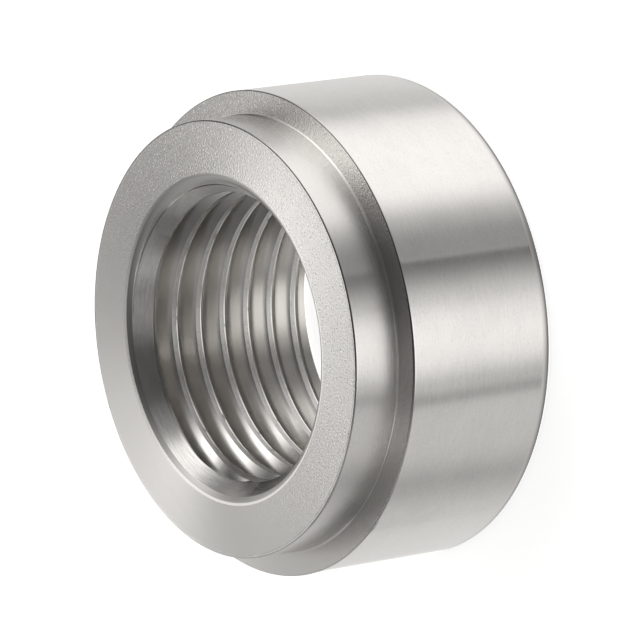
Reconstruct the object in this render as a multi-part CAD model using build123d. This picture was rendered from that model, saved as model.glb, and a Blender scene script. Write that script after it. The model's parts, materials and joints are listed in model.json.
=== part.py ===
# Stepped weld bung: a ring turned from stainless bar, with a spigot that drops into the hole in
# the pipe, a shoulder that seats on the pipe wall, and one threaded bore right through. The bore
# is at the diameter of the thread's crests, and the thread's groove itself isn't cut.
# The origin is the centre of the large back face, and +Z runs out through the spigot.
from build123d import *
from math import radians, tan
import os

# Outside, in millimetres. The shoulder stands out past the spigot by its width, all round.
spigot_diameter = 22.0
spigot_length = 2.6
shoulder_width = 1.25
body_length = 8.55
back_edge_width = 0.13
back_edge_length = 0.45
shoulder_edge_chamfer = 0.08
spigot_edge_chamfer = 0.09
corner_radius = 0.12

# Internal thread, metric fine M16 x 1.5. The tap drill is the diameter less the pitch, and the
# bore came out a little wider than the drill.
thread_diameter = 16.0
thread_pitch = 1.5
drill_oversize = 0.1

# Mouth of the bore at the spigot: a broken edge, a wide chamfer and a long lead-in cone. The wide
# chamfer starts outside the thread's full diameter, by the mouth's margin.
mouth_margin = 0.225
mouth_chamfer_width = 0.28
mouth_chamfer_angle = 120.0
lead_cone_angle = 68.0
rim_break_width = 0.18
rim_break_depth = 0.04

# Far end of the bore
back_chamfer_width = 0.6
back_chamfer_angle = 90.0

# Radii and heights worked out from the dimensions above
overall_length = body_length + spigot_length
spigot_radius = spigot_diameter / 2
body_radius = spigot_radius + shoulder_width
bore_radius = (thread_diameter - thread_pitch + drill_oversize) / 2
mouth_radius = thread_diameter / 2 + mouth_margin
lead_cone_radius = mouth_radius - mouth_chamfer_width


def cone_length(width, included_angle):
    """Axial length of a cone wall whose radius changes by width."""
    return width / tan(radians(included_angle / 2))


def outside():
    """The outer side of the ring's section, as (radius, height) points from the back face up."""
    return [
        (body_radius - back_edge_width, 0),
        (body_radius, back_edge_length),
        (body_radius, body_length - shoulder_edge_chamfer),
        (body_radius - shoulder_edge_chamfer, body_length),
        (spigot_radius, body_length),
        (spigot_radius, overall_length - spigot_edge_chamfer),
        (spigot_radius - spigot_edge_chamfer, overall_length),
    ]


def inside():
    """The bore's side of the section, from the front face down: mouth, lead-in cone and bore."""
    rim_height = overall_length - rim_break_depth
    chamfer_end = rim_height - cone_length(mouth_chamfer_width, mouth_chamfer_angle)
    cone_end = chamfer_end - cone_length(lead_cone_radius - bore_radius, lead_cone_angle)
    return [
        (mouth_radius + rim_break_width, overall_length),
        (mouth_radius, rim_height),
        (lead_cone_radius, chamfer_end),
        (bore_radius, cone_end),
        (bore_radius, cone_length(back_chamfer_width, back_chamfer_angle)),
        (bore_radius + back_chamfer_width, 0),
    ]


def weld_bung():
    """The section turned about Z, with the tool's radius left in the corner behind the spigot."""
    points = [(radius, 0, height) for radius, height in outside() + inside()]
    ring = revolve(make_face(Polyline(*points, close=True)), Axis.Z, 360)
    circles = ring.edges().filter_by(GeomType.CIRCLE)
    shoulder_edges = circles.filter_by_position(Axis.Z, body_length, body_length)
    inside_corner = shoulder_edges.sort_by(SortBy.RADIUS)[0]
    return fillet(inside_corner, corner_radius)


os.makedirs("parts", exist_ok=True)
export_step(weld_bung(), "parts/weld_bung.step")
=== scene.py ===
"""Looks for the stepped weld bung: the turned ring with its cut thread, its steel and its studio."""
import json
import math
import bpy
import numpy as np
from mathutils import Matrix, Vector


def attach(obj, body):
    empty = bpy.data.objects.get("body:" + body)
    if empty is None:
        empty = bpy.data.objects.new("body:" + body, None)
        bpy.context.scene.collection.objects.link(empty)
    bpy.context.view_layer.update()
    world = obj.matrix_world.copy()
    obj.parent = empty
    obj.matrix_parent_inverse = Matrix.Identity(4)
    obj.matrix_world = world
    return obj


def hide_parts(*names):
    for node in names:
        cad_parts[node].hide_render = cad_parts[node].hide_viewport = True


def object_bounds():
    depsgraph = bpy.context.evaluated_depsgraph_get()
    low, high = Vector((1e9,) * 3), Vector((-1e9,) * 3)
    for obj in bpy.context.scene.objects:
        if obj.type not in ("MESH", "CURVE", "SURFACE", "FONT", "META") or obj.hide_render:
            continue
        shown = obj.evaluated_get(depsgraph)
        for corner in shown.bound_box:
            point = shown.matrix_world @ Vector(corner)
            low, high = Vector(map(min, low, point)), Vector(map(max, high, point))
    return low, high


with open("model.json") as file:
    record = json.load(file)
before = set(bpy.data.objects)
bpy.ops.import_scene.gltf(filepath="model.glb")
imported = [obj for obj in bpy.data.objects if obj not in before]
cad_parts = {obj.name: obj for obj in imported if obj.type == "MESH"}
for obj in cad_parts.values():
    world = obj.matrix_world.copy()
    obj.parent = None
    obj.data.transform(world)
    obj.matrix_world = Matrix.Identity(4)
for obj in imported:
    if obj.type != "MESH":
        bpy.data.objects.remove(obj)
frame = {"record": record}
cad_low, cad_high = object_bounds()

# Sizes in millimetres, in the part's frame. The frame gives the main ones.
MM = 0.001
mounts = {mount["name"]: mount for mount in frame["record"]["mounts"]}


def mount_span(name):
    """The lowest and highest height of a round mount's wall."""
    middle = mounts[name]["pos_m"][2] / MM
    half = mounts[name]["dims"]["length_mm"] / 2
    return middle - half, middle + half


overall_length = cad_high.z / MM
body_radius = cad_high.x / MM
shoulder_height = mounts["shoulder"]["pos_m"][2] / MM
spigot_radius = mounts["spigot"]["dims"]["r_mm"]
bore_radius = mounts["thread"]["dims"]["r_mm"]
back_cone_top, lead_cone_end = mount_span("thread")
corner_radius = mount_span("spigot")[0] - shoulder_height
back_chamfer_width = back_cone_top

# Edges that no mount states. A waver is how much a width changes round the ring. Directions on the
# ring are degrees about Z, counted from +X towards +Y.
back_edge_width = 0.13
back_edge_length = 0.45
back_edge_waver = 0.04
shoulder_edge_widest = 0.08
shoulder_edge_thinnest = 0.035
shoulder_edge_waver = 0.01
spigot_edge_chamfer = 0.055
spigot_edge_waver = 0.02
wall_below_edge = 0.12
burr_width = 0.04
burr_depth = 0.012
burr_roughness = 2.0
edge_radius = 0.02
fillet_rows = 5

# The back edge is a shallow curve: the share of its width that is left, at shares of its length
back_edge_curve = [(0.45, 0.18), (0.12, 0.5)]

# The shoulder's edge is widest round one direction: the direction, and degrees to each side of it
shoulder_wide_side = (-112, 24)

# Small nicks in the edges: direction, width in degrees and depth
shoulder_nicks = [(-147, 1.1, 0.05), (-145, 0.5, 0.04)]
spigot_nicks = [(-141, 0.6, 0.035), (-139, 0.4, 0.03)]
nick_drop = 0.3

# Mouth of the bore
rim_break_width = 0.13
rim_break_waver = 0.04
rim_break_depth = 0.04
mouth_radius = 8.225
mouth_chamfer_width = 0.28
mouth_chamfer_angle = math.radians(120)
lead_cone_radius = mouth_radius - mouth_chamfer_width
rim_height = overall_length - rim_break_depth
lead_cone_start = rim_height - mouth_chamfer_width / math.tan(mouth_chamfer_angle / 2)

# The thread, M16 x 1.5 right-handed. Its groove has its stated height at the stated direction.
thread_pitch = 1.5
groove_root_radius = 8.08
groove_root_half = thread_pitch / 16
flank_slope = 1 / math.tan(math.radians(30))
root_round = 0.08
groove_direction = 76.5
groove_height = overall_length - 1.66
full_groove_width = 0.9

# Where the groove starts to rise out of the lead-in cone, where it has left it, and how
runout_full = overall_length - 1.42
runout_end = overall_length - 1.23
runout_lift = groove_root_radius - bore_radius + 0.25
runout_bend = 1.5

# The burr along the groove's edges. It stands higher on the side of the mouth.
lip_height = 0.008
lip_width = 0.024
lip_foot = 0.07
lip_corner_share = 0.2
far_lip_share = 0.12
lip_roughness = 2.2
lip_clearance = 0.05

# Rows of the mesh across the groove, as heights above its middle, and the band in its root with painted
# shade
rows_across = (0.25, 0.16, 0.1, 0.05, 0, -0.05, -0.1, -0.16, -0.25)
root_band = (-0.06, 0.12)

# The mesh
columns = 512
span_steps = 601
weld_steps_in_mm = 1e5
height_slack = 0.01
sharp_edge = math.radians(32)


def sines(turn, seed, amount, waves=(2, 3, 5, 8, 13)):
    """A smooth wavering value round the ring, the same on each run."""
    total = np.zeros_like(turn)
    for order, wave in enumerate(waves):
        phase = 1.7 * seed + 2.3 * order * (seed + 1)
        total += np.sin(wave * turn + phase) / (1 + 0.5 * order)
    return amount * total / len(waves)


def grain(turn, seed, amount):
    """A rougher wavering value, for burrs and torn edges."""
    return sines(turn, seed, amount, (29, 43, 61, 89, 113, 151, 197))


def dent(turn, direction, width, depth):
    """A smooth dip or bump round one direction."""
    away = np.angle(np.exp(1j * (turn - math.radians(direction))))
    return depth * np.exp(-(away / math.radians(width)) ** 2)


def nicks_depth(turn, nicks):
    """How deep the nicks of an edge are at each direction."""
    return sum(dent(turn, *nick) for nick in nicks)


class Section:
    """Rows of (radius, height, material) that run round the ring's section, one value for each column."""

    def __init__(self, turn):
        self.turn = turn
        self.radius = []
        self.height = []
        self.material = []

    def add(self, radius, height, material):
        """One more row. The material is that of the strip from the row before it."""
        self.radius.append(radius + 0 * self.turn)
        self.height.append(height + 0 * self.turn)
        self.material.append(material)


def blunted(section, corners, material_of, blunt=edge_radius, steps=3):
    """Adds the rows of an outline, with each of its corners blunted by a small arc."""
    points = [np.stack([r + 0 * section.turn, z + 0 * section.turn]) for r, z in corners]
    last = len(points) - 1
    for i, point in enumerate(points):
        if i in (0, last):
            section.add(point[0], point[1], material_of(i))
            continue
        before = points[i - 1] - point
        after = points[i + 1] - point
        for step in range(steps + 1):
            t = step / steps
            lead_in = before / np.linalg.norm(before, axis=0) * blunt * (1 - t) ** 2
            lead_out = after / np.linalg.norm(after, axis=0) * blunt * t ** 2
            row = point + lead_in + lead_out
            section.add(row[0], row[1], material_of(i if step == 0 else i + 0.5))


WALL, SPIGOT, FACE, SHOULDER, LINE, CHAMFER, MOUTH, THREAD, CREST, ROOT, EDGE, RIM, BACK = range(13)


def back_corners(turn):
    """The back face and the body's shallow back edge, as (radius, height)."""
    length = back_edge_length + sines(turn, 1, back_edge_waver)
    curve = [(body_radius - left * back_edge_width, share * length) for left, share in back_edge_curve]
    return [
        (bore_radius + back_chamfer_width, 0),
        (body_radius - back_edge_width, 0),
        *curve,
        (body_radius, length),
    ]


def shoulder_corners(turn):
    """The shoulder's broken edge, its face and the tool's radius in the corner behind the spigot."""
    wide_side = dent(turn, *shoulder_wide_side, 1.0)
    edge = shoulder_edge_thinnest + (shoulder_edge_widest - shoulder_edge_thinnest) * wide_side
    edge = edge + sines(turn, 2, shoulder_edge_waver)
    nick = nicks_depth(turn, shoulder_nicks)
    fillet = [
        (spigot_radius + corner_radius * (1 - math.sin(a)),
         shoulder_height + corner_radius * (1 - math.cos(a)))
        for a in np.radians(np.linspace(0, 90, fillet_rows))
    ]
    return [
        (body_radius, shoulder_height - edge - wall_below_edge),
        (body_radius - nick, shoulder_height - edge),
        (body_radius - edge - nick, shoulder_height - nick_drop * nick),
        *fillet,
    ]


def spigot_corners(turn):
    """The spigot's broken edge, and the burr that the facing tool left beside it."""
    edge = spigot_edge_chamfer + sines(turn, 3, spigot_edge_waver)
    nick = nicks_depth(turn, spigot_nicks)
    burr = burr_depth * (1 + grain(turn, 7, burr_roughness))
    return [
        (spigot_radius, overall_length - edge - wall_below_edge),
        (spigot_radius, overall_length - edge - nick),
        (spigot_radius - edge - nick, overall_length - nick_drop * nick),
        (spigot_radius - spigot_edge_chamfer - 2 * burr_width, overall_length - burr),
        (spigot_radius - spigot_edge_chamfer - 3 * burr_width, overall_length),
    ]


def mouth_corners(turn):
    """The mouth's broken rim and its wide chamfer."""
    width = rim_break_width + sines(turn, 4, rim_break_waver)
    return [
        (mouth_radius + width, overall_length),
        (mouth_radius, rim_height),
        (lead_cone_radius, lead_cone_start),
    ]


def outer_rows(section):
    """The section from the bore's back chamfer round the outside to the lead-in cone."""
    turn = section.turn
    corners = back_corners(turn) + shoulder_corners(turn) + spigot_corners(turn) + mouth_corners(turn)
    materials = [BACK, BACK, RIM, RIM, RIM, WALL, WALL, EDGE, SHOULDER]
    materials += [*[SPIGOT] * 6, EDGE, FACE, FACE, FACE, LINE, CHAMFER]
    blunted(section, corners, lambda i: materials[int(i)])


def bore_wall(height):
    """The bore's radius before the thread is cut: lead-in cone, plain bore and back chamfer."""
    cone_slope = (lead_cone_radius - bore_radius) / (lead_cone_start - lead_cone_end)
    cone = (height - lead_cone_end) * cone_slope
    return bore_radius + np.maximum(0, np.maximum(cone, back_cone_top - height))


def groove_wall(height, centre):
    """The radius that the threading tool leaves: a trapezoid groove that fades out near the mouth."""
    away = np.abs(height - centre) - groove_root_half
    rise = 0.5 * (away + np.sqrt(away ** 2 + root_round ** 2)) - 0.5 * root_round
    fade = np.clip((centre - runout_full) / (runout_end - runout_full), 0, 1)
    return groove_root_radius - runout_lift * fade ** runout_bend - flank_slope * rise


def groove_span(centre):
    """Where the groove cuts the bore's wall: its upper and lower height at each column."""
    reach = np.linspace(-thread_pitch / 2, thread_pitch / 2, span_steps)[:, None]
    height = np.clip(centre + reach, 0, lead_cone_start)
    depth = groove_wall(height, centre) - bore_wall(height)
    deepest = np.take_along_axis(height, np.argmax(depth, axis=0)[None], axis=0)[0]
    cut = depth > 0
    top = np.where(cut, height, -np.inf).max(axis=0)
    bottom = np.where(cut, height, np.inf).min(axis=0)
    any_cut = cut.any(axis=0)
    return np.where(any_cut, top, deepest), np.where(any_cut, bottom, deepest)


def groove_turn_rows(section, number, centre, previous):
    """One turn of the groove: the plain wall above it, its near lip, the groove and its far lip."""
    top, bottom = groove_span(centre)
    size = np.clip((top - bottom) / full_groove_width, 0, 1) ** 2
    plain = (top < lead_cone_end - lip_clearance) & (bottom > back_cone_top)
    lip = lip_height * size * plain * (1 + grain(section.turn, number + 3, lip_roughness))
    plain_wall = MOUTH if number <= 0 else CREST
    for edge in (lead_cone_end, back_cone_top):
        height = np.clip(edge, top + lip_foot, previous)
        section.add(bore_wall(height), height, plain_wall)
    near_lip = ((lip_foot, 0, plain_wall), (lip_width, 1, THREAD), (0, lip_corner_share, THREAD))
    for offset, share, kind in near_lip:
        height = np.minimum(top + offset, previous)
        section.add(bore_wall(height) - lip * share, height, kind)
    for offset in rows_across:
        height = np.clip(centre + offset, bottom, top)
        radius = np.maximum(groove_wall(height, centre), bore_wall(height))
        section.add(radius, height, ROOT if root_band[0] < offset < root_band[1] else THREAD)
    far_lip = ((0, 0, THREAD), (lip_width, far_lip_share, CREST), (lip_foot, 0, CREST))
    for offset, share, kind in far_lip:
        height = np.maximum(bottom - offset, 0)
        section.add(bore_wall(height) - lip * share, height, kind)


def thread_rows(section):
    """The bore from the lead-in cone to the back face, with the helical groove cut into it.

    Each turn of the groove has the same rows, so that rows follow the helix. What lies past the
    ends of the bore collapses onto its end circles. Returns how many rows one turn has.
    """
    climb = thread_pitch * (np.degrees(section.turn) - groove_direction) / 360
    previous = np.full_like(section.turn, lead_cone_start)
    turns = math.ceil(lead_cone_start / thread_pitch) + 2
    for number in range(-1, turns):
        before = len(section.radius)
        groove_turn_rows(section, number, groove_height + climb - thread_pitch * number, previous)
        previous = section.height[-1]
    return len(section.radius) - before


def ring_mesh():
    """The whole ring as one closed mesh."""
    turn = math.radians(groove_direction) + np.linspace(0, 2 * math.pi, columns, endpoint=False)
    section = Section(turn)
    outer_rows(section)
    first_thread_row = len(section.radius)
    rows_in_turn = thread_rows(section)
    section.add(bore_wall(np.zeros_like(turn)), 0, THREAD)
    radius = np.array(section.radius)
    height = np.array(section.height)
    count = len(radius)
    points = np.stack([radius * np.cos(turn), radius * np.sin(turn), height], axis=-1) * MM
    row, column = np.meshgrid(np.arange(count - 1), np.arange(columns), indexing="ij")

    def index(r, c):
        """The vertex of a row at a column. Past the last column, thread rows join one turn on."""
        wrapped = c == columns
        shifted = np.maximum(r - rows_in_turn, first_thread_row - 1)
        joined = np.where(wrapped & (r >= first_thread_row), shifted, r)
        joined = np.where(wrapped & (r == count - 1), count - 1, joined)
        return joined * columns + np.where(wrapped, 0, c)

    quads = np.stack([index(row, column), index(row, column + 1),
                      index(row + 1, column + 1), index(row + 1, column)], axis=-1).reshape(-1, 4)
    material = np.repeat(np.array(section.material[1:])[:, None], columns, axis=1)
    on_cone = np.minimum(height[:-1], height[1:]) > lead_cone_end - height_slack
    material[on_cone & (material == CREST)] = MOUTH
    return points.reshape(-1, 3), quads, material.reshape(-1)


def welded(points, quads, material):
    """The mesh with coinciding vertices joined and collapsed faces left out."""
    keys = np.round(points / MM * weld_steps_in_mm).astype(np.int64)
    _, first, joined = np.unique(keys, axis=0, return_index=True, return_inverse=True)
    joined = joined.reshape(-1)
    faces = []
    kept = []
    for quad, slot in zip(joined[quads].tolist(), material.tolist()):
        face = [v for k, v in enumerate(quad) if v != quad[k - 1]]
        if len(set(face)) == len(face) and len(face) >= 3:
            faces.append(face)
            kept.append(slot)
    return points[first], faces, kept


def build_ring(materials):
    """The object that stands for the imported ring."""
    points, faces, slots = welded(*ring_mesh())
    mesh = bpy.data.meshes.new("turned_ring")
    mesh.from_pydata(points.tolist(), [], faces)
    mesh.validate()
    for material in materials:
        mesh.materials.append(material)
    mesh.polygons.foreach_set("material_index", np.array(slots, dtype=np.int32))
    mesh.polygons.foreach_set("use_smooth", np.ones(len(mesh.polygons), dtype=bool))
    mesh.set_sharp_from_angle(angle=sharp_edge)
    ring = bpy.data.objects.new("turned_ring", mesh)
    bpy.context.scene.collection.objects.link(ring)
    return ring


# Node helpers

def feed(tree, socket, value):
    """Links an output to a socket, or sets the socket's value."""
    if isinstance(value, bpy.types.NodeSocket):
        tree.links.new(value, socket)
    else:
        socket.default_value = value


def sums(tree, operation, *values):
    """A Math node."""
    node = tree.nodes.new("ShaderNodeMath")
    node.operation = operation
    for socket, value in zip(node.inputs, values):
        feed(tree, socket, value)
    return node.outputs[0]


def ramp(tree, value, low, high, to_low=0.0, to_high=1.0, smooth=True):
    """A Map Range node, clamped."""
    node = tree.nodes.new("ShaderNodeMapRange")
    node.interpolation_type = "SMOOTHSTEP" if smooth else "LINEAR"
    for name, number in (("From Min", low), ("From Max", high), ("To Min", to_low), ("To Max", to_high)):
        node.inputs[name].default_value = number
    feed(tree, node.inputs["Value"], value)
    return node.outputs["Result"]


def noise(tree, vector, scale, detail=2.0, roughness=0.5):
    """A Noise Texture's value."""
    node = tree.nodes.new("ShaderNodeTexNoise")
    node.inputs["Scale"].default_value = scale
    node.inputs["Detail"].default_value = detail
    node.inputs["Roughness"].default_value = roughness
    feed(tree, node.inputs["Vector"], vector)
    return node.outputs["Fac"]


def split_vector(tree, vector):
    """The X, Y and Z of a vector."""
    node = tree.nodes.new("ShaderNodeSeparateXYZ")
    feed(tree, node.inputs[0], vector)
    return node.outputs


def towards(tree, x, y, degrees, unit=1.0):
    """How far a point or direction lies towards an angle about Z, from -Y towards +X."""
    a = math.radians(degrees)
    return sums(tree, "ADD", sums(tree, "MULTIPLY", x, math.sin(a) / unit),
                sums(tree, "MULTIPLY", y, -math.cos(a) / unit))


def place_on_part(tree):
    """The place on the part, in metres."""
    return tree.nodes.new("ShaderNodeTexCoord").outputs["Object"]


def part_position(tree):
    """X, Y, height and distance from the axis, in metres."""
    x, y, z = split_vector(tree, place_on_part(tree))
    square = sums(tree, "ADD", sums(tree, "MULTIPLY", x, x), sums(tree, "MULTIPLY", y, y))
    return x, y, z, sums(tree, "SQRT", square)


def direction_mask(tree, degrees, low, high):
    """Rises from nought to one with the distance in millimetres towards a direction about Z."""
    x, y, _, _ = part_position(tree)
    return ramp(tree, towards(tree, x, y, degrees, MM), low, high)


def bump(tree, height, distance, below=None):
    """A Bump node on top of another. The distance is in millimetres."""
    node = tree.nodes.new("ShaderNodeBump")
    node.inputs["Distance"].default_value = distance * MM
    feed(tree, node.inputs["Height"], height)
    if below:
        feed(tree, node.inputs["Normal"], below)
    return node.outputs[0]


def scaled(colour, share):
    """A colour made lighter or darker."""
    return [min(1, c * share) for c in colour]


def mixed(tree, share, first, second):
    """A colour between two."""
    node = tree.nodes.new("ShaderNodeMix")
    node.data_type = "RGBA"
    feed(tree, node.inputs["Factor"], share)
    for name, colour in (("A", first), ("B", second)):
        feed(tree, node.inputs[name], colour if isinstance(colour, bpy.types.NodeSocket) else (*colour, 1))
    return node.outputs["Result"]


# Colours of the steel
warm_steel = (0.72, 0.705, 0.688)
bore_steel = (0.70, 0.687, 0.668)

# Noises: scale, detail and roughness
line_noise = (9.0, 3.0, 0.7)
cloud_noise = (450.0, 4.0, 0.6)
dot_noise = (10500.0, 0.0)
skin_noise = (10500.0, 1.0, 0.5)

# The tool's lines: how fast they change along its path and with the height, for each unit of radius
along_path = 0.12
with_height = 1.7

# Dots: the noise values between which the light ones, which are painted glints, come and the dark ones go,
# and their shares of the steel's colour
painted_glint_dots = (0.70, 0.76)
dark_dots = (0.25, 0.32)
painted_glint_share = 1.35
dark_dot_share = 0.5

# Mottling: the noise values between which the colour and the roughness change
mottled_colour = (0.7, 1.3)
mottled_roughness = (0.6, 1.4)
roughness_change = 0.1

# A side is a direction in degrees about Z, from -Y towards +X, and the two distances towards it,
# in millimetres from the axis, between which a finish changes.

# The end faces. Their skin is pebbled on one side, with painted glints there, and a painted shade darkens
# another side. The facing tool's ridges lean a little towards the axis.
pebbled_side = (40, -9.0, 3.0)
painted_shade_side = (115, 1.0, 9.0)
painted_shade_share = 0.82
face_glints_and_specks = 0.55
ridge_lean = math.radians(6)
face_lines = 0.0004
face_roughness = 0.27

# The lead-in cone
dull_cone_side = (90, 3.0, 7.0)
cone_roughness = 0.24
dull_cone_roughness = 0.44

# Broken edges with painted shade, and the heights between which a painted shade darkens the back edge
shaded_edge_side = (80, -8.0, 1.0)
edge_roughness = 0.4
rim_roughness = 0.3
rim_fade_low = 0.05
rim_fade_high = 0.42
rim_painted_shade_darkest = 0.2


def metal(name, anisotropy):
    """A bare metal whose highlights are drawn out across the tool lines round the axis."""
    material = bpy.data.materials.new(name)
    material.use_nodes = True
    tree = material.node_tree
    shader = tree.nodes["Principled BSDF"]
    shader.inputs["Metallic"].default_value = 1.0
    shader.inputs["Anisotropic"].default_value = anisotropy
    shader.inputs["Anisotropic Rotation"].default_value = 0.25
    tangent = tree.nodes.new("ShaderNodeTangent")
    tangent.direction_type = "RADIAL"
    tangent.axis = "Z"
    feed(tree, shader.inputs["Tangent"], tangent.outputs[0])
    return material, tree, shader


def tool_lines(tree):
    """The fine rings that the tool leaves: noise that changes fast across its path and slowly along it."""
    x, y, z, flat = part_position(tree)
    across = sums(tree, "ADD", flat, sums(tree, "MULTIPLY", z, with_height))
    join = tree.nodes.new("ShaderNodeCombineXYZ")
    feed(tree, join.inputs[0], sums(tree, "MULTIPLY", x, along_path / MM))
    feed(tree, join.inputs[1], sums(tree, "MULTIPLY", y, along_path / MM))
    feed(tree, join.inputs[2], sums(tree, "MULTIPLY", across, 1 / MM))
    return noise(tree, join.outputs[0], *line_noise)


def speckled(tree, paint, colour, strength):
    """Tiny dots over a paint: light ones, which are painted glints, and dark specks."""
    dots = noise(tree, place_on_part(tree), *dot_noise)
    # Painted glints: the light dots are lighter than the steel's own colour
    light = sums(tree, "MULTIPLY", ramp(tree, dots, *painted_glint_dots), strength)
    dark = sums(tree, "MULTIPLY", ramp(tree, dots, *dark_dots, 1, 0), strength)
    paint = mixed(tree, light, paint, scaled(colour, painted_glint_share))
    return mixed(tree, dark, paint, scaled(colour, dark_dot_share))


def turned_steel(name, colour, roughness, grooves, anisotropy, mottling=0.04, specks_and_glints=0.0):
    """Steel with the fine rings that the tool leaves. Grooves is their depth in millimetres."""
    material, tree, shader = metal(name, anisotropy)
    fine = tool_lines(tree)
    both = sums(tree, "ADD", fine, noise(tree, place_on_part(tree), *cloud_noise))
    mottled = ramp(tree, both, *mottled_colour)
    paint = mixed(tree, mottled, scaled(colour, 1 - mottling), scaled(colour, 1 + mottling))
    if specks_and_glints:
        paint = speckled(tree, paint, colour, specks_and_glints)
    feed(tree, shader.inputs["Base Color"], paint)
    smoothest = roughness * (1 - roughness_change)
    roughest = roughness * (1 + roughness_change)
    feed(tree, shader.inputs["Roughness"], ramp(tree, both, *mottled_roughness, smoothest, roughest))
    feed(tree, shader.inputs["Normal"], bump(tree, fine, grooves))
    return material


def faced_steel(name, colour, pebble):
    """The end faces: smooth on one side, with a pebbled skin like orange peel on the other.

    Pebble is the skin's depth in millimetres.
    """
    material, tree, shader = metal(name, anisotropy=0.9)
    pebbled = direction_mask(tree, *pebbled_side)
    # Painted shade: the colour darkens towards one side of the face
    paint = mixed(tree, direction_mask(tree, *painted_shade_side), colour, scaled(colour, painted_shade_share))
    # Painted glints and dark specks on the pebbled side
    paint = speckled(tree, paint, colour, sums(tree, "MULTIPLY", pebbled, face_glints_and_specks))
    feed(tree, shader.inputs["Base Color"], paint)
    shader.inputs["Roughness"].default_value = face_roughness
    flat = part_position(tree)[3]
    leaning = bump(tree, sums(tree, "MULTIPLY", flat, math.tan(ridge_lean)), 1 / MM)
    lines = bump(tree, tool_lines(tree), face_lines, leaning)
    skin = noise(tree, place_on_part(tree), *skin_noise)
    feed(tree, shader.inputs["Normal"], bump(tree, sums(tree, "MULTIPLY", skin, pebbled), pebble, lines))
    return material


def mouth_steel(name, colour):
    """The lead-in cone, which the tool left duller on the +X side."""
    material = turned_steel(name, colour, cone_roughness, grooves=0.001, anisotropy=0.85, mottling=0.15)
    tree = material.node_tree
    shader = tree.nodes["Principled BSDF"]
    dull = direction_mask(tree, *dull_cone_side)
    roughness = ramp(tree, dull, 0, 1, cone_roughness, dull_cone_roughness, smooth=False)
    feed(tree, shader.inputs["Roughness"], roughness)
    return material


def rim_steel(name, colour):
    """The rounded back edge, darker towards the back face by a painted shade."""
    material, tree, shader = metal(name, anisotropy=0.6)
    height = part_position(tree)[2]
    # Painted shade: the colour darkens towards the back face, which stands on the floor
    share = ramp(tree, height, rim_fade_low * MM, rim_fade_high * MM)
    feed(tree, shader.inputs["Base Color"], mixed(tree, share, scaled(colour, rim_painted_shade_darkest), colour))
    shader.inputs["Roughness"].default_value = rim_roughness
    return material


def edge_steel(name, colour, lightest, darkest, side=shaded_edge_side):
    """A dull broken edge with painted shade. Its share of the colour goes from lightest to darkest towards
    a side; a share above one is a painted highlight.
    """
    material, tree, shader = metal(name, anisotropy=0.3)
    # Painted shade and highlight: the colour's share changes towards a side
    dark = direction_mask(tree, *side)
    paint = mixed(tree, dark, scaled(colour, lightest), scaled(colour, darkest))
    feed(tree, shader.inputs["Base Color"], paint)
    shader.inputs["Roughness"].default_value = edge_roughness
    return material


# The studio. A panel is a soft-edged area of light in the sky round the part. Its direction is
# degrees about Z from -Y towards +X, and its height is degrees above the horizon. The room's
# levels and the heights of their change, and all panels but the last two, weren't chosen by hand:
# a separate program fitted them to the photograph's brightness, and they are rounded.
room_level_low = 0.373
room_level_high = 0.094
panels = [
    # direction, half width, soft edge, lowest, highest, soft ends, level
    (73.1, 20.8, 19.7, -90, 25.4, 18.7, 0.55),
    (185.6, 68.5, 34.3, -90, -32.3, 21.4, 0.67),
    (-59.9, 14.7, 14.5, -90, 7.8, 14, 0.33),
    (-10, 13.9, 13.8, -90, -0.2, 4.2, 0.51),
    (99.3, 19.3, 19.5, 10.8, 38.5, 5.4, 1.21),
    (169.4, 27.3, 24.9, 43.4, 71.1, 20.7, 0.73),
    (184.2, 5.6, 6.8, -66.4, 30.7, 7.5, 1.33),
    (-143.5, 33.1, 4.1, -0.6, 30.2, 21.2, 0.58),
    (-44.9, 24.6, 22.3, 33.2, 42.1, 5.3, 0.66),
    (-61, 45.4, 33.1, 58.6, 84.9, 6.9, 0.20),
    (124.3, 56.2, 7, 48.2, 60.9, 15.6, 0.98),
    (109.9, 18.6, 4.9, 35.8, 54.6, 8.9, 1.58),
    (-73.5, 11.4, 11.3, 33.1, 61.7, 9.7, 0.70),
    (81.1, 28.8, 8.8, -48.3, -5, 6.9, 0.40),
    (-18.4, 6.8, 17.1, -35, 3.3, 13.5, 0.87),
    (-101.1, 8.3, 7.6, 28.8, 45.3, 14.7, 0.51),
    (159.9, 9.5, 10.6, -22.7, 34.1, 8.2, 0.70),
    (24.1, 0.4, 0.25, -90, 0, 10, 0.08),
    (-37.4, 0.6, 0.4, -90, 0, 10, 0.05),
]
# Gaps and sharp edges lie well below the horizon, where the standing body mirrors them.
gaps = [
    # direction, half width, soft edge, share of the light that is left
    (-42.8, 2.2, 1.2, 0.7),
]
edges = [
    # direction of a sharp edge, degrees over which the light falls towards it, share left beside it
    (23.4, 9, 0.5),
]
# Heights of the view direction's tip between which the room's level changes and the shades end
room_change = (-0.17, 0.09)
shades_end = (-0.48, -0.36)
glow_colour = (1, 0.995, 0.98, 1)

# How abruptly a sharp edge stops, and the cosines between which its own side of the sky begins
edge_softness = 0.002
own_side = (0, 0.2)


def sine(degrees):
    """The height of a direction's tip, held between straight down and straight up."""
    return math.sin(math.radians(max(-90, min(90, degrees))))


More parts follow.
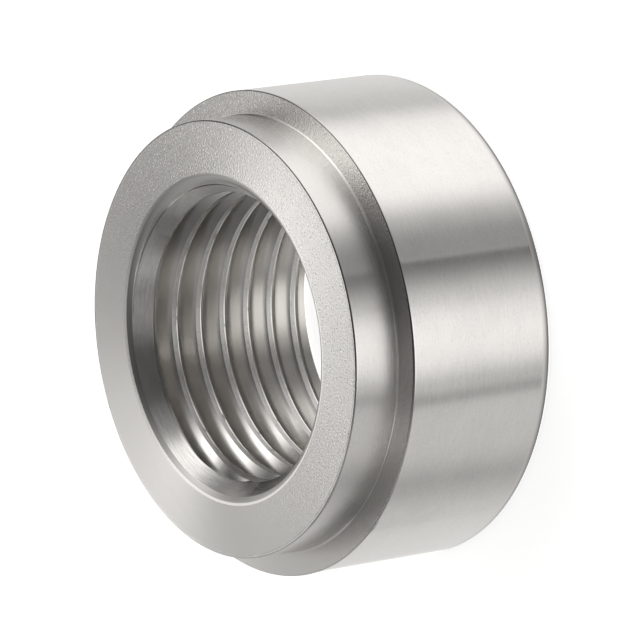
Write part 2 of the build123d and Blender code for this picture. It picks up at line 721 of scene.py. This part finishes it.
class Sky:
    """The view direction of the world, and soft-edged masks over it."""

    def __init__(self, tree):
        self.tree = tree
        direction = tree.nodes.new("ShaderNodeTexCoord").outputs["Generated"]
        self.x, self.y, self.z = split_vector(tree, direction)
        square = sums(tree, "SUBTRACT", 1.0, sums(tree, "MULTIPLY", self.z, self.z))
        self.flat = sums(tree, "SQRT", sums(tree, "MAXIMUM", square, 1e-6))

    def facing(self, degrees):
        """The cosine of the angle about Z from a direction."""
        return sums(self.tree, "DIVIDE", towards(self.tree, self.x, self.y, degrees), self.flat)

    def window(self, degrees, half, soft):
        """One inside a range of directions, and nought outside it."""
        outer = math.cos(math.radians(min(180, half + soft)))
        inner = math.cos(math.radians(max(0, half - soft)))
        return ramp(self.tree, self.facing(degrees), outer, inner)

    def between(self, low, high, soft):
        """One between two heights above the horizon. A low of -90 has no lower end."""
        below_top = ramp(self.tree, self.z, sine(high - soft), sine(high + soft), 1.0, 0.0)
        if low == -90:
            return below_top
        above_low = ramp(self.tree, self.z, sine(low - soft), sine(low + soft))
        return sums(self.tree, "MULTIPLY", above_low, below_top)

    def falling(self, degrees, length):
        """Rises from nought to one towards a direction, and stops sharply there."""
        side = self.facing(degrees + 90)
        near = sums(self.tree, "MULTIPLY", ramp(self.tree, side, -sine(length), 0),
                    ramp(self.tree, side, -edge_softness, edge_softness, 1.0, 0.0))
        return sums(self.tree, "MULTIPLY", near, ramp(self.tree, self.facing(degrees), *own_side))

    def light(self):
        """The room's level, the panels on it, and then the gaps and sharp edges in them."""
        tree = self.tree
        light = ramp(tree, self.z, *room_change, room_level_low, room_level_high)
        for degrees, half, soft, low, high, ends, level in panels:
            mask = sums(tree, "MULTIPLY", self.window(degrees, half, soft), self.between(low, high, ends))
            light = sums(tree, "ADD", light, sums(tree, "MULTIPLY", mask, level))
        shades = [(self.window(degrees, half, soft), left) for degrees, half, soft, left in gaps]
        shades += [(self.falling(degrees, length), left) for degrees, length, left in edges]
        below = ramp(tree, self.z, *shades_end, 1.0, 0.0)
        for place, left in shades:
            mask = sums(tree, "MULTIPLY", sums(tree, "MULTIPLY", place, below), 1 - left)
            light = sums(tree, "MULTIPLY", light, sums(tree, "SUBTRACT", 1.0, mask))
        return light


def studio_world():
    """Soft panels round the part. The camera itself sees plain white."""
    world = bpy.data.worlds.new("studio")
    world.use_nodes = True
    bpy.context.scene.world = world
    tree = world.node_tree
    tree.nodes.clear()
    glow = tree.nodes.new("ShaderNodeBackground")
    glow.inputs["Color"].default_value = glow_colour
    feed(tree, glow.inputs["Strength"], Sky(tree).light())
    white = tree.nodes.new("ShaderNodeBackground")
    white.inputs["Color"].default_value = (1, 1, 1, 1)
    rays = tree.nodes.new("ShaderNodeLightPath")
    choice = tree.nodes.new("ShaderNodeMixShader")
    feed(tree, choice.inputs["Fac"], rays.outputs["Is Camera Ray"])
    feed(tree, choice.inputs[1], glow.outputs[0])
    feed(tree, choice.inputs[2], white.outputs[0])
    out = tree.nodes.new("ShaderNodeOutputWorld")
    feed(tree, out.inputs["Surface"], choice.outputs[0])


# The floor: half its side in metres, its depth below the back face, its white, and how much the
# camera sees it glow, which brings it up to the background's white
floor_half = 1.5
floor_gap = 0.02 * MM
floor_white = (0.9, 0.9, 0.9, 1)
floor_glow = 0.75


def floor_material():
    """White paint that keeps the part's soft shadow."""
    material = bpy.data.materials.new("floor_white")
    material.use_nodes = True
    tree = material.node_tree
    tree.nodes.clear()
    paint = tree.nodes.new("ShaderNodeBsdfDiffuse")
    paint.inputs["Color"].default_value = floor_white
    glow = tree.nodes.new("ShaderNodeEmission")
    rays = tree.nodes.new("ShaderNodeLightPath")
    feed(tree, glow.inputs["Strength"], sums(tree, "MULTIPLY", rays.outputs["Is Camera Ray"], floor_glow))
    both = tree.nodes.new("ShaderNodeAddShader")
    feed(tree, both.inputs[0], paint.outputs[0])
    feed(tree, both.inputs[1], glow.outputs[0])
    out = tree.nodes.new("ShaderNodeOutputMaterial")
    feed(tree, out.inputs["Surface"], both.outputs[0])
    return material


def floor():
    """A plain white floor, a hair below the back face, which the steel doesn't mirror."""
    mesh = bpy.data.meshes.new("floor")
    signs = [(-1, -1), (1, -1), (1, 1), (-1, 1)]
    corners = [(floor_half * x, floor_half * y, -floor_gap) for x, y in signs]
    mesh.from_pydata(corners, [], [(0, 1, 2, 3)])
    mesh.materials.append(floor_material())
    plane = bpy.data.objects.new("floor", mesh)
    bpy.context.scene.collection.objects.link(plane)
    plane.visible_glossy = False
    plane.visible_shadow = False


# The camera, in millimetres, with the photograph's viewing angle. A separate program worked out its
# place and directions from the ring's outlines in the photograph.
camera_place = (0.276529, -272.43416, 205.79117)
camera_forward = (0.0, 0.804913, -0.593392)
camera_up = (0.989765, -0.084682, -0.114868)
camera_lens = 378.04
camera_sensor = 36


def camera():
    """The photograph's view: from above the mouth's side, a long lens, rolled on its side."""
    forward = Vector(camera_forward)
    right = forward.cross(Vector(camera_up)).normalized()
    up = right.cross(forward).normalized()
    data = bpy.data.cameras.new("camera")
    data.sensor_width = camera_sensor
    data.lens = camera_lens
    data.clip_start = 0.01
    data.clip_end = 10
    eye = bpy.data.objects.new("camera", data)
    turned = Matrix((right, up, -forward)).transposed().to_4x4()
    eye.matrix_world = Matrix.Translation(Vector(camera_place) * MM) @ turned
    bpy.context.scene.collection.objects.link(eye)
    bpy.context.scene.camera = eye


# One material for each kind of strip, in the order of their numbers
crest_steel = scaled(bore_steel, 0.8)
materials = [
    turned_steel("body_wall", warm_steel, roughness=0.14, grooves=0.0006, anisotropy=1.0, specks_and_glints=0.12),
    turned_steel("spigot_wall", warm_steel, roughness=0.22, grooves=0.0006, anisotropy=1.0, specks_and_glints=0.12),
    faced_steel("front_face", warm_steel, pebble=0.015),
    faced_steel("shoulder_face", warm_steel, pebble=0.016),
    # The mouth's rim line: painted highlight, fading to painted shade towards one side
    edge_steel("rim_line", warm_steel, lightest=1.38, darkest=0.65, side=(90, 2.0, 7.5)),
    # The mouth chamfer: painted shade, darkest towards one side
    edge_steel("mouth_chamfer", warm_steel, lightest=0.8, darkest=0.45, side=(180, 3.0, 8.0)),
    mouth_steel("mouth_cone", warm_steel),
    turned_steel("thread_flanks", bore_steel, roughness=0.16, grooves=0.001, anisotropy=0.7, mottling=0.02),
    turned_steel("thread_crests", crest_steel, roughness=0.4, grooves=0.004, anisotropy=0.5,
                 mottling=0.15, specks_and_glints=0.5),
    # Painted shade in the groove's root
    edge_steel("groove_root", bore_steel, lightest=0.5, darkest=0.5),
    # Painted shade on the broken edges, darkest towards one side
    edge_steel("broken_edge", warm_steel, lightest=0.9, darkest=0.2),
    rim_steel("back_rim", warm_steel),
    turned_steel("back_face", warm_steel, roughness=0.34, grooves=0.001, anisotropy=0.6),
]
ring = build_ring(materials)
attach(ring, "root")
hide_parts("weld_bung")
floor()
studio_world()
camera()
bpy.context.scene.view_settings.view_transform = "Standard"
